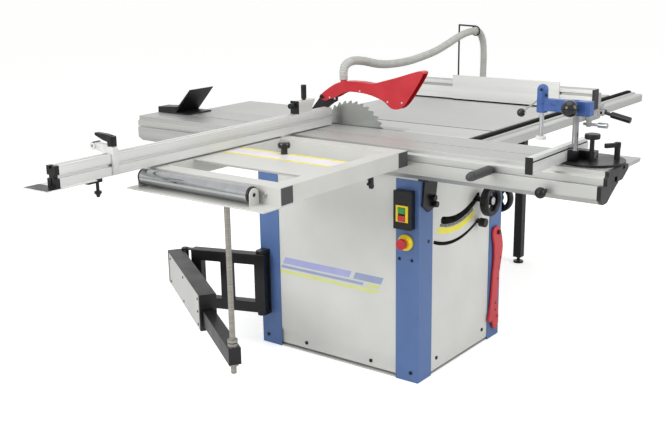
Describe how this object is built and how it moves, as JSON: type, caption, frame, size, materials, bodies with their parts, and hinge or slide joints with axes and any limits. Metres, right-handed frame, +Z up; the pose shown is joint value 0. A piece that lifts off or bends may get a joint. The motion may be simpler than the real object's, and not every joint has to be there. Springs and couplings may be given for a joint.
{
  "type": "sliding table saw",
  "caption": "Cabinet table saw with sliding carriage, crosscut table and fence, rip fence on a rail, tilting and rising blade, guard with dust hose.",
  "frame": {"origin": "centre of the cabinet's footprint, on the floor", "axes": "+X along the sliding carriage towards the operator, +Y from the carriage towards the rip fence, +Z up"},
  "size_m": [2, 2.848, 1.1385],
  "materials": {
    "cabinet_grey": "powder coat",
    "post_blue": "powder coat",
    "motor_paint": "paint",
    "black_paint": "satin black paint",
    "black_plastic": "moulded",
    "black_steel": "blackened",
    "cast_grey": "ground",
    "alloy": "anodised",
    "table_paint": "satin paint",
    "white_paint": "powder coat",
    "bright_steel": "ground",
    "chrome": "polished",
    "belt_rubber": "matt",
    "red_plastic": "moulded",
    "green_plastic": "moulded",
    "yellow_plastic": "moulded",
    "hose_grey": "ribbed",
    "clamp_blue": "paint"
  },
  "bodies": {
    "cabinet": {"top_frame": "cabinet_grey", "corner_posts": "post_blue", "left_panel": "cabinet_grey", "front_panel": "cabinet_grey", "right_panel": "cabinet_grey", "rear_panel": "cabinet_grey", "dust_port": "black_plastic", "main_table": "cast_grey", "table_insert": "alloy", "right_extension": "table_paint", "outfeed_extension": "table_paint", "extension_leg": "black_paint", "rip_rail": "alloy", "slide_beam": "alloy", "beam_brackets": "black_paint", "switch_box": "black_plastic", "estop_base": "yellow_plastic", "hose_hanger": "black_paint", "dust_hose": "hose_grey", "panel_screws": "black_steel"},
    "lock_knob": {"carriage_lock": "black_plastic"},
    "start": {"start_button": "green_plastic"},
    "stop": {"stop_button": "red_plastic"},
    "estop": {"estop_button": "red_plastic"},
    "stick": {"push_stick": "red_plastic"},
    "tilt_wheel": {"tilt_handwheel": "black_plastic"},
    "tilt": {"tilt_cradle": "cast_grey"},
    "screw": {"lift_screw": "bright_steel"},
    "height_wheel": {"height_handwheel": "black_plastic"},
    "tilt_clamp": {"tilt_lock_knob": "black_plastic"},
    "lift": {"arbor_carriage": "cast_grey", "motor": "motor_paint", "drive_belt": "belt_rubber", "riving_knife": "black_paint"},
    "spindle": {"saw_blade": "bright_steel", "arbor": "bright_steel"},
    "rotor": {"motor_pulley": "bright_steel"},
    "guard": {"blade_guard": "red_plastic"},
    "carriage": {"slide_carriage": "alloy", "carriage_handle": "black_plastic", "crosscut_frame": "white_paint", "rip_shoe": "black_paint", "mitre_base": "black_paint"},
    "roller": {"roller": "chrome"},
    "frame_clamp": {"clamp_lever": "black_plastic"},
    "fence": {"crosscut_fence": "alloy"},
    "length_stop": {"flip_stop": "alloy"},
    "mitre": {"mitre_fence": "alloy", "hold_down_column": "chrome"},
    "mitre_turn_knob": {"mitre_knob": "black_plastic"},
    "mitre_clamp": {"mitre_lever": "black_plastic"},
    "hold_arm": {"hold_down_arm": "clamp_blue"},
    "plunger": {"hold_down_plunger": "bright_steel"},
    "rip": {"rip_guide": "alloy", "rip_profile": "alloy"},
    "rip_clamp": {"rip_lever": "black_plastic"},
    "fine_knob": {"micro_knob": "bright_steel"},
    "swing": {"swing_frame": "black_paint"},
    "arm": {"arm_box": "black_paint"},
    "arm_inner": {"arm_tube": "black_paint"}
  },
  "joints": [
    {"name": "carriage_slide", "type": "slide", "parent": "cabinet", "child": "carriage", "axis": [1, 0, 0], "range_m": [-0.6, 0.2]},
    {"name": "swing_hinge", "type": "hinge", "parent": "cabinet", "child": "swing", "pos_m": [-0.33, -0.335, 0.257], "axis": [0, 0, 1], "range_deg": [-19.5, 6.6]},
    {"name": "elbow_hinge", "type": "hinge", "parent": "swing", "child": "arm", "pos_m": [-0.63223, -0.43706, 0.257], "axis": [0, 0, 1], "range_deg": [-8.6, 2.9]},
    {"name": "arm_telescope", "type": "slide", "parent": "arm", "child": "arm_inner", "axis": [0.8329, -0.5534, 0], "range_m": [-0.27, 0.09]},
    {"name": "roller_spin", "type": "hinge", "parent": "carriage", "child": "roller", "pos_m": [0.04, -1.031, 0.825], "axis": [1, 0, 0], "continuous": true},
    {"name": "clamp_turn", "type": "hinge", "parent": "carriage", "child": "frame_clamp", "pos_m": [0.3125, -0.52, 0.77], "axis": [0, 0, 1], "range_deg": [-60, 60]},
    {"name": "fence_swing", "type": "hinge", "parent": "carriage", "child": "fence", "pos_m": [-0.182, -0.3725, 0.854], "axis": [0, 0, 1], "range_deg": [-45, 45]},
    {"name": "stop_slide", "type": "slide", "parent": "fence", "child": "length_stop", "axis": [0, 1, 0], "range_m": [-0.12, 0.6]},
    {"name": "mitre_turn", "type": "hinge", "parent": "carriage", "child": "mitre", "pos_m": [0.922, -0.2, 0.86], "axis": [0, 0, 1], "range_deg": [-45, 45]},
    {"name": "mitre_knob_turn", "type": "hinge", "parent": "carriage", "child": "mitre_turn_knob", "pos_m": [0.93, -0.233, 0.88], "axis": [0, 0, 1], "range_deg": [-180, 180]},
    {"name": "mitre_lever_turn", "type": "hinge", "parent": "carriage", "child": "mitre_clamp", "pos_m": [0.982, -0.16, 0.88], "axis": [0, 0, 1], "range_deg": [-50, 0]},
    {"name": "hold_height", "type": "slide", "parent": "mitre", "child": "hold_arm", "axis": [0, 0, 1], "range_m": [-0.03, 0]},
    {"name": "hold_plunge", "type": "slide", "parent": "hold_arm", "child": "plunger", "axis": [0, 0, 1], "range_m": [-0.03, 0.005]},
    {"name": "rip_slide", "type": "slide", "parent": "cabinet", "child": "rip", "axis": [0, 1, 0], "range_m": [-0.66, 0.35]},
    {"name": "rip_lever_turn", "type": "hinge", "parent": "rip", "child": "rip_clamp", "pos_m": [0.535, 0.834, 0.834], "axis": [0, -1, 0], "range_deg": [0, 70]},
    {"name": "fine_knob_turn", "type": "hinge", "parent": "rip", "child": "fine_knob", "pos_m": [0.5, 0.804, 0.784], "axis": [1, 0, 0], "continuous": true},
    {"name": "blade_tilt", "type": "hinge", "parent": "cabinet", "child": "tilt", "pos_m": [-0.1, -0.05, 0.85], "axis": [-1, 0, 0], "range_deg": [0, 45], "deforming": ["dust_hose"]},
    {"name": "blade_lift", "type": "slide", "parent": "tilt", "child": "lift", "axis": [0, 0, 1], "range_m": [-0.06, 0], "deforming": ["dust_hose"]},
    {"name": "height_wheel_turn", "type": "hinge", "parent": "tilt", "child": "height_wheel", "pos_m": [0.4, 0.10348, 0.59456], "axis": [1, 0, 0], "range_deg": [-540, 0]},
    {"name": "screw_turn", "type": "hinge", "parent": "tilt", "child": "screw", "pos_m": [0.05, 0.10348, 0.65], "axis": [0, 0, 1], "range_deg": [0, 540]},
    {"name": "tilt_wheel_turn", "type": "hinge", "parent": "cabinet", "child": "tilt_wheel", "pos_m": [0.318, 0.34, 0.541], "axis": [0, 1, 0], "range_deg": [0, 360]},
    {"name": "tilt_clamp_turn", "type": "hinge", "parent": "tilt", "child": "tilt_clamp", "pos_m": [0.37, 0.11102, 0.5047], "axis": [1, 0, 0], "range_deg": [0, 180]},
    {"name": "blade_spin", "type": "hinge", "parent": "lift", "child": "spindle", "pos_m": [-0.097, 0, 0.787], "axis": [0, 1, 0], "continuous": true},
    {"name": "rotor_spin", "type": "hinge", "parent": "lift", "child": "rotor", "pos_m": [-0.097, 0.1, 0.64], "axis": [0, 1, 0], "continuous": true},
    {"name": "guard_pivot", "type": "hinge", "parent": "lift", "child": "guard", "pos_m": [-0.222, -0.05, 0.953], "axis": [0, -1, 0], "range_deg": [0, 25], "deforming": ["dust_hose"]},
    {"name": "start_press", "type": "slide", "parent": "cabinet", "child": "start", "axis": [0, 1, 0], "range_m": [0, 0.004], "stiffness_N_per_m": 600},
    {"name": "stop_press", "type": "slide", "parent": "cabinet", "child": "stop", "axis": [0, 1, 0], "range_m": [0, 0.004], "stiffness_N_per_m": 600},
    {"name": "estop_press", "type": "slide", "parent": "cabinet", "child": "estop", "axis": [0, 1, 0], "range_m": [0, 0.005], "stiffness_N_per_m": 800},
    {"name": "stick_swing", "type": "hinge", "parent": "cabinet", "child": "stick", "pos_m": [0.367, 0.258, 0.432], "axis": [1, 0, 0], "range_deg": [-12, 12]},
    {"name": "lock_pull", "type": "slide", "parent": "cabinet", "child": "lock_knob", "axis": [0, -1, 0], "range_m": [0, 0.008]}
  ],
  "couplings": [
    {"joint": "swing_hinge", "follows": "carriage_slide", "rad_per_m": 0.563},
    {"joint": "elbow_hinge", "follows": "carriage_slide", "rad_per_m": 0.247},
    {"joint": "arm_telescope", "follows": "carriage_slide", "ratio": 0.44736},
    {"joint": "height_wheel_turn", "follows": "blade_lift", "rad_per_m": 157.08},
    {"joint": "screw_turn", "follows": "blade_lift", "rad_per_m": -157.08},
    {"joint": "tilt_wheel_turn", "follows": "blade_tilt", "ratio": 8},
    {"joint": "rotor_spin", "follows": "blade_spin", "ratio": 1}
  ]
}
